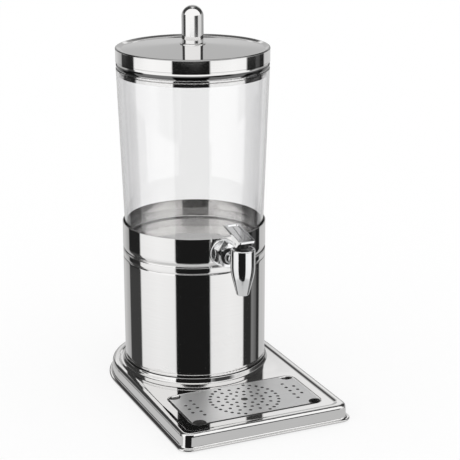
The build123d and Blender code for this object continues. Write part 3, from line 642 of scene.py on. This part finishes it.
def add_film(tree, shader, place, patches, clean, smeared):
    """Let the roughness go from clean to smeared where the surface was touched."""
    marks = place_group(tree, "hand_marks", Place=place, Patches=patches, Clean=clean, Smeared=smeared)
    feed(tree, shader.inputs["Roughness"], marks["Roughness"])


print("finish helpers ready")

# %% [markdown]
# ## Polished steel
# The base, the column, the collar bowl, the lid and the knob are stainless steel sheet, polished on a wheel
# until they mirror the room. The real surface keeps fine rings from the wheel, slow waves from the press and
# a thin film where it was wiped. Seams are painted dark, as painted shade where nothing bright gets into
# them, and edges are rolled softly. A plain metal shader would be as sharp as glass, so each piece adds these
# effects with its own measures: a seam of painted shade has a low and a high end, a softness and a share of
# darkness, and a roll has a level, a reach and a depth.

# %% Polished steel
STEEL = 0.77
STEEL_SPREAD = 0.015
STEEL_WARMTH = 0.007
STEEL_CLEAN = 0.05
STEEL_SMEARED = 0.10
STEEL_PATCHES = 17.0
# Dark grey painted into seams as painted shade.
SEAM_SHADE = grey(0.10)
RING_DENSITY = 2600.0
RING_DEPTH = 0.0000006
PRESS_WAVES = 14.0


def polished(name, lines="round", shade_bands=(), rolls=(), waves=0.00004):
    """Mirror-polished steel; returns the material, its tree, its shader and its measures."""
    material, tree, shader, where = start_material(name)
    stacked = where["sum"] if lines == "round" else calc(tree, "ADD", where["z"], where["y"])
    across_lines = vector(tree, stacked, where["x"], where["y"])
    rings = place_group(tree, "fine_lines", Place=across_lines, Density=RING_DENSITY, Depth=RING_DEPTH)
    swell = place_group(tree, "sheet_waves", Place=where["place"], Waves=PRESS_WAVES, Depth=waves)
    heights = [rings["Height"], swell["Height"]]
    for measure, level, reach, depth in rolls:
        roll = place_group(
            tree, "rolled_edge", Measure=where[measure], Level=level, Reach=reach, Depth=depth,
        )
        heights.append(roll["Height"])
    colour = tint(tree, rings["Shade"], *two_greys(STEEL, STEEL_SPREAD, STEEL_WARMTH))
    # Painted shade: each of these darkens the colour towards the dark grey along a groove or seam.
    for measure, low, high, soft, share in shade_bands:
        shade_band = place_group(tree, "shade_band", Measure=where[measure], Low=low, High=high, Soft=soft)
        colour = tint(tree, calc(tree, "MULTIPLY", shade_band["Mask"], share), colour, SEAM_SHADE)
    add_film(tree, shader, where["place"], STEEL_PATCHES, STEEL_CLEAN, STEEL_SMEARED)
    add_bump(tree, shader, *heights)
    feed(tree, shader.inputs["Base Color"], colour)
    shader.inputs["Metallic"].default_value = 1.0
    return material, tree, shader, where


# Painted shade lines: under the lid's bead, just above it and round the edge of the lid's top; one at the
# column's foot.
LID_SHADE_BANDS = (
    ("z", 0.3808, 0.3859, 0.0006, 0.95),
    ("z", 0.3886, 0.3897, 0.0003, 0.35),
    ("sum", 0.4925, 0.4940, 0.0002, 0.6),
)
COLUMN_SHADE_BANDS = (("z", 0.0238, 0.0257, 0.0003, 0.95),)
COLUMN_ROLLS = (("z", 0.1532, 0.0026, 0.0004),)
steel_pieces = {
    "column": polished("column_steel", shade_bands=COLUMN_SHADE_BANDS, rolls=COLUMN_ROLLS)[0],
    "lid": polished("lid_steel", shade_bands=LID_SHADE_BANDS)[0],
    "lid_inner_ring": polished("ring_steel")[0],
    "knob": polished("knob_steel", waves=0.0)[0],
    "knob_washer": polished("washer_steel", waves=0.0)[0],
}
print("polished pieces:", ", ".join(steel_pieces))

# %% [markdown]
# ## The base's drip well
# The base is one pressed sheet, so the well under the grille is the same steel. Juice dries in it and the
# wheel never reaches its corners, so it is dull. No light gets in, so its darkness is painted on as painted
# shade, mottled with stains, which is why the grille's holes look black. A second material could be put on
# its faces, but the faces belong to the frame, so a mask finds the well by its place. The base also has a
# painted shade line under the column's foot. The column mirrors only the part of the base that is close to
# it.

# %% Base steel
# Painted shade line under the column's foot.
BASE_SHADE_BANDS = (("z", 0.0241, 0.0251, 0.0003, 0.9),)
BASE_WAVES = 0.00006
WELL_HALF = (0.0803, 0.0421)
WELL_Y = -0.146
WELL_TOP = 0.0178
WELL_EDGE = (0.985, 1.0)
# Painted shade inside the well, in two tones mottled by stains.
WELL_SHADE = grey(0.05, 0.03)
WELL_STAINED_SHADE = grey(0.11, 0.03)
WELL_ROUGH = 0.45
STAIN_SCALE = 60.0
STAIN_EDGE = (0.3, 0.7)
MIRROR_SIGHT = 0.03


def lay_over(tree, shader, share, colour, rough):
    """Lay another colour and roughness over a finish by a share."""
    under = shader.inputs["Base Color"].links[0].from_socket
    under_rough = shader.inputs["Roughness"].links[0].from_socket
    feed(tree, shader.inputs["Base Color"], tint(tree, share, under, colour))
    feed(tree, shader.inputs["Roughness"], blend(tree, share, under_rough, rough))


def well_mask(tree, where):
    """One inside the well, nought on the rest of the sheet."""
    side = calc(tree, "DIVIDE", calc(tree, "ABSOLUTE", where["x"]), WELL_HALF[0])
    depth = calc(tree, "ABSOLUTE", calc(tree, "SUBTRACT", where["y"], WELL_Y))
    reach = calc(tree, "MAXIMUM", side, calc(tree, "DIVIDE", depth, WELL_HALF[1]))
    below = calc(tree, "LESS_THAN", where["z"], WELL_TOP)
    return calc(tree, "MULTIPLY", steps(tree, reach, *WELL_EDGE, 1.0, 0.0), below)


def base_steel():
    """Polished sheet, dull with painted shade inside the well, and a painted shade line under the column's
    foot.
    """
    material, tree, shader, where = polished(
        "base_steel", lines="straight", shade_bands=BASE_SHADE_BANDS, waves=BASE_WAVES,
    )
    # Painted shade in the well, mottled by a stain pattern.
    stain = steps(tree, noise(tree, where["place"], STAIN_SCALE, detail=4.0), *STAIN_EDGE)
    dark = tint(tree, stain, WELL_SHADE, WELL_STAINED_SHADE)
    lay_over(tree, shader, well_mask(tree, where), dark, WELL_ROUGH)
    path = add_node(tree, "ShaderNodeLightPath")
    far = calc(tree, "GREATER_THAN", path.outputs["Ray Length"], MIRROR_SIGHT)
    unseen = calc(tree, "MULTIPLY", seen_in_mirror(tree), far)
    feed(tree, shader.inputs["Alpha"], calc(tree, "SUBTRACT", 1.0, unseen))
    return material


steel_pieces["base_plate"] = base_steel()
print("well mask", WELL_HALF, "m about y", WELL_Y)

# %% [markdown]
# ## The bowl's inside
# Outside, the collar is polished like the column. Inside, where the container stands in it, the wheel only
# brushed the wall, and washing has left it a little brown, while the floor still mirrors. As in the well, a
# mask finds the wall: inside a radius and above the floor.

# %% Bowl steel
BOWL_ROLLS = (("z", 0.1628, 0.0062, 0.0012),)
BOWL_INSIDE = (0.0840, 0.0853)
BOWL_FLOOR = (0.1740, 0.1752)
WALL_STEEL = grey(0.84, 0.025)
WALL_ROUGH = 0.21
WALL_METAL = 0.80


def bowl_steel():
    """Polished outside, brushed and brownish on the inner wall."""
    material, tree, shader, where = polished("bowl_steel", rolls=BOWL_ROLLS)
    inner = steps(tree, where["radius"], *BOWL_INSIDE, 1.0, 0.0)
    wall = calc(tree, "MULTIPLY", inner, steps(tree, where["z"], *BOWL_FLOOR))
    lay_over(tree, shader, wall, WALL_STEEL, WALL_ROUGH)
    feed(tree, shader.inputs["Metallic"], blend(tree, wall, 1.0, WALL_METAL))
    return material


steel_pieces["bowl"] = bowl_steel()
print("bowl's inner wall from radius", BOWL_INSIDE)

# %% [markdown]
# ## Satin steel
# The grille and the fittings inside are the same steel, brushed instead of polished. Brushing leaves straight
# scratches that spread a reflection. The shader could stretch its highlights instead, but real lines also
# show up close, so the finish has more roughness and stronger lines, along the sheet's length.

# %% Satin steel
BRUSH_DENSITY = 1800.0
BRUSH_SPREAD = 0.03
BRUSH_PATCHES = 24.0
BRUSH_FILM = 0.06


def satin(name, value, rough, depth, metal=1.0, painted_shade_level=None):
    """Brushed steel with lines along its length; below a given level the punched edges are painted dark, as
    painted shade.
    """
    material, tree, shader, where = start_material(name)
    stacked = calc(tree, "ADD", where["y"], where["z"])
    across_lines = vector(tree, stacked, where["x"], where["z"])
    brushed = place_group(tree, "fine_lines", Place=across_lines, Density=BRUSH_DENSITY, Depth=depth)
    colour = tint(tree, brushed["Shade"], *two_greys(value, BRUSH_SPREAD))
    if painted_shade_level is not None:
        # Painted shade: below the level the hole walls take the dark seam grey.
        colour = tint(tree, calc(tree, "LESS_THAN", where["z"], painted_shade_level), colour, SEAM_SHADE)
    feed(tree, shader.inputs["Base Color"], colour)
    add_film(tree, shader, where["place"], BRUSH_PATCHES, rough, rough + BRUSH_FILM)
    add_bump(tree, shader, brushed["Height"])
    shader.inputs["Metallic"].default_value = metal
    return material


steel_pieces["drip_grille"] = satin(
    "grille_steel", value=0.76, rough=0.36, depth=0.0000008, metal=0.72, painted_shade_level=0.01875,
)
print("satin grille ready")

# %% [markdown]
# ## Chrome
# The tap, its nut, its lever and its cap are cast brass with bright plating. The casting under the plating is
# never quite flat, so the reflections swim a little, and plating is a touch bluer than steel. One finish
# would do for all, but the nut and the washer behind it are handled with a spanner and shine less.

# %% Chrome
CAST_WAVES = 120.0
CAST_DEPTH = 0.000006
PEEL_GRAIN = 1500.0
PEEL_DEPTH = 0.0000003
CHROME_SPREAD = 0.02
CHROME_WARMTH = -0.004
CHROME_PATCHES = 60.0


def chrome(name, value, clean, smeared):
    """Bright plating over a casting."""
    material, tree, shader, where = start_material(name)
    cast = place_group(tree, "sheet_waves", Place=where["place"], Waves=CAST_WAVES, Depth=CAST_DEPTH)
    peel = place_group(tree, "mould_grain", Place=where["place"], Grain=PEEL_GRAIN, Depth=PEEL_DEPTH)
    colour = tint(tree, peel["Shade"], *two_greys(value, CHROME_SPREAD, CHROME_WARMTH))
    feed(tree, shader.inputs["Base Color"], colour)
    add_film(tree, shader, where["place"], CHROME_PATCHES, clean, smeared)
    add_bump(tree, shader, cast["Height"], peel["Height"])
    shader.inputs["Metallic"].default_value = 1.0
    return material


chrome_finish = chrome("chrome", value=0.80, clean=0.08, smeared=0.13)
steel_pieces["rosette"] = chrome("rosette_chrome", value=0.88, clean=0.21, smeared=0.27)
steel_pieces["union_nut"] = chrome("nut_chrome", value=0.90, clean=0.12, smeared=0.17)
steel_pieces["lever"] = chrome("lever_chrome", value=0.92, clean=0.05, smeared=0.09)
print("chrome ready")

# %% [markdown]
# ## Clear plastic and clear rubber
# The container is a clear moulded tube and stands in a clear rubber seal. Light goes through with a faint
# grey loss, and the wall is thick enough to bend what is behind it. Where the wall is seen edge on, a darker
# grey is painted into its colour as painted shade. The mould leaves waves no deeper than a hair. Metallic and
# transmission stay plain numbers: only the colour, the roughness and the surface change over it.

# %% Clear materials
CLOUD_GRAIN = 300.0
CLOUD_SPREAD = 0.006
EDGE_ON_SHADE = (0.03, 0.5)
EDGE_SHADE_TINT = (1.0, 0.997, 1.004)
CLEAR_PATCHES = 14.0
CLEAR_WAVES = 9.0
CLEAR_WAVE_DEPTH = 0.00001


def clear(name, value, edge, ior, clean, smeared, alpha=1.0):
    """See-through plastic or rubber with faint mould waves and wiped patches, and painted shade where seen
    edge on.
    """
    material, tree, shader, where = start_material(name)
    cloud = place_group(tree, "mould_grain", Place=where["place"], Grain=CLOUD_GRAIN)
    colour = tint(tree, cloud["Shade"], grey(value - CLOUD_SPREAD), grey(value + CLOUD_SPREAD))
    # Painted shade: the colour greys towards the edge colour where the wall is seen edge on.
    facing = add_node(tree, "ShaderNodeLayerWeight").outputs["Facing"]
    edge_shade = [edge * part for part in EDGE_SHADE_TINT]
    feed(tree, shader.inputs["Base Color"], tint(tree, steps(tree, facing, *EDGE_ON_SHADE), colour, edge_shade))
    add_film(tree, shader, where["place"], CLEAR_PATCHES, clean, smeared)
    swell = place_group(
        tree, "sheet_waves", Place=where["place"], Waves=CLEAR_WAVES, Depth=CLEAR_WAVE_DEPTH,
    )
    add_bump(tree, shader, swell["Height"])
    shader.inputs["IOR"].default_value = ior
    shader.inputs["Alpha"].default_value = alpha
    shader.inputs["Transmission Weight"].default_value = 1.0
    return material


container_finish = clear("clear_plastic", value=0.972, edge=0.895, ior=1.49, clean=0.0, smeared=0.012)
seal_finish = clear("clear_rubber", value=0.97, edge=0.95, ior=1.41, clean=0.02, smeared=0.06, alpha=0.25)
print("clear finishes ready")

# %% [markdown]
# ## Plastics and rubber
# The tap's guide, the stem's head and the bush are black moulded plastic; the cooling pack is a pale moulded
# bottle with a blue cap; the feet and seals are black rubber. Flat colours would do from afar, but all come
# from moulds that leave a fine grain, and all change their shine a little where they are handled.

# %% Moulded finishes
MOULD_PATCHES = 40.0
MOULD_FILM = 0.12


def moulded(name, first, second, rough, grain, depth):
    """Moulded plastic or rubber between two colours, with a grain."""
    material, tree, shader, where = start_material(name)
    skin = place_group(tree, "mould_grain", Place=where["place"], Grain=grain, Depth=depth)
    feed(tree, shader.inputs["Base Color"], tint(tree, skin["Shade"], first, second))
    add_film(tree, shader, where["place"], MOULD_PATCHES, rough, rough + MOULD_FILM)
    add_bump(tree, shader, skin["Height"])
    return material


finishes = {
    "polished_steel": steel_pieces["column"],
    "satin_steel": satin("satin_steel", value=0.66, rough=0.26, depth=0.0000015),
    "chrome": chrome_finish,
    "clear_plastic": container_finish,
    "clear_rubber": seal_finish,
    "black_plastic": moulded(
        "black_plastic", grey(0.014), grey(0.026), rough=0.32, grain=2500.0, depth=0.000002,
    ),
    "pack_plastic": moulded(
        "pack_plastic", (0.78, 0.82, 0.85), (0.85, 0.88, 0.90), rough=0.45, grain=900.0, depth=0.000010,
    ),
    "pack_cap_plastic": moulded(
        "pack_cap_plastic", (0.10, 0.22, 0.45), (0.14, 0.28, 0.52), rough=0.42, grain=900.0, depth=0.000008,
    ),
    "black_rubber": moulded(
        "black_rubber", grey(0.020), grey(0.038), rough=0.72, grain=1800.0, depth=0.000006,
    ),
}
print("finishes by slot:", ", ".join(finishes))

# %% [markdown]
# ## Putting the finishes on
# The frame's record says which slot each piece belongs to. Pieces with a finish of their own take that one,
# everything else takes its slot's finish. Reflections don't see the grille and the feet, because the cards
# and the strip already stand for what the column sees there.

# %% Assign
for subpart in frame["record"]["subparts"]:
    node = nodes[subpart["node"]]
    node.data.materials.clear()
    node.data.materials.append(steel_pieces.get(subpart["node"], finishes[subpart["material_slot"]]))
for name in ("drip_grille", "rubber_feet"):
    hide_from(nodes[name], "glossy")

# %% [markdown]
# ## The tap's spring
# A coil of steel wire round the stem pushes the valve shut. It shortens when the lever lifts the stem, and a
# rigid solid can't do that. A curve with a bevel could be wound, but a squash needs a mesh, so the coil is
# wound here as a tube of rings that fills the solid's box. It rides with the upper unit, and its upper end
# rests against the guide.

# %% Spring
SPRING_TURNS = 5
SPRING_WIRE = 0.0005
RINGS_PER_TURN = 32
WIRE_SIDES = 10


def wire_ring(centre, radius, pitch, ring):
    """Points round the wire at one place along the helix."""
    angle = math.tau * ring / RINGS_PER_TURN
    outward = Vector((math.cos(angle), math.sin(angle), 0))
    along = Vector((-math.sin(angle), math.cos(angle), pitch / (math.tau * radius))).normalized()
    upward = outward.cross(along)
    place = centre + outward * radius + Vector((0, 0, pitch * ring / RINGS_PER_TURN))
    turns = [math.tau * side / WIRE_SIDES for side in range(WIRE_SIDES)]
    return [place + (outward * math.cos(turn) + upward * math.sin(turn)) * SPRING_WIRE for turn in turns]


def wound_coil(name, low, high):
    """Tube along a helix that fills a box from end to end."""
    foot = Vector(((low.x + high.x) / 2, (low.y + high.y) / 2, low.z + SPRING_WIRE))
    radius = (high.x - low.x) / 2 - SPRING_WIRE
    pitch = (high.z - low.z - 2 * SPRING_WIRE) / SPRING_TURNS
    last = SPRING_TURNS * RINGS_PER_TURN
    points = []
    for ring in range(last + 1):
        points += wire_ring(foot, radius, pitch, ring)
    faces = [tuple(range(WIRE_SIDES)), tuple(reversed(range(last * WIRE_SIDES, len(points))))]
    for ring in range(last):
        here = ring * WIRE_SIDES
        there = here + WIRE_SIDES
        for side in range(WIRE_SIDES):
            onward = (side + 1) % WIRE_SIDES
            faces.append((here + side, there + side, there + onward, here + onward))
    mesh = bpy.data.meshes.new(name)
    mesh.from_pydata(points, [], faces)
    mesh.shade_smooth()
    coil = bpy.data.objects.new(name, mesh)
    bpy.context.scene.collection.objects.link(coil)
    return coil


spring_low, spring_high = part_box("valve_spring")
coil = wound_coil("spring_coil", spring_low, spring_high)
coil.data.materials.append(finishes["satin_steel"])
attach(coil, "upper_unit")
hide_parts("valve_spring")
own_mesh(coil)
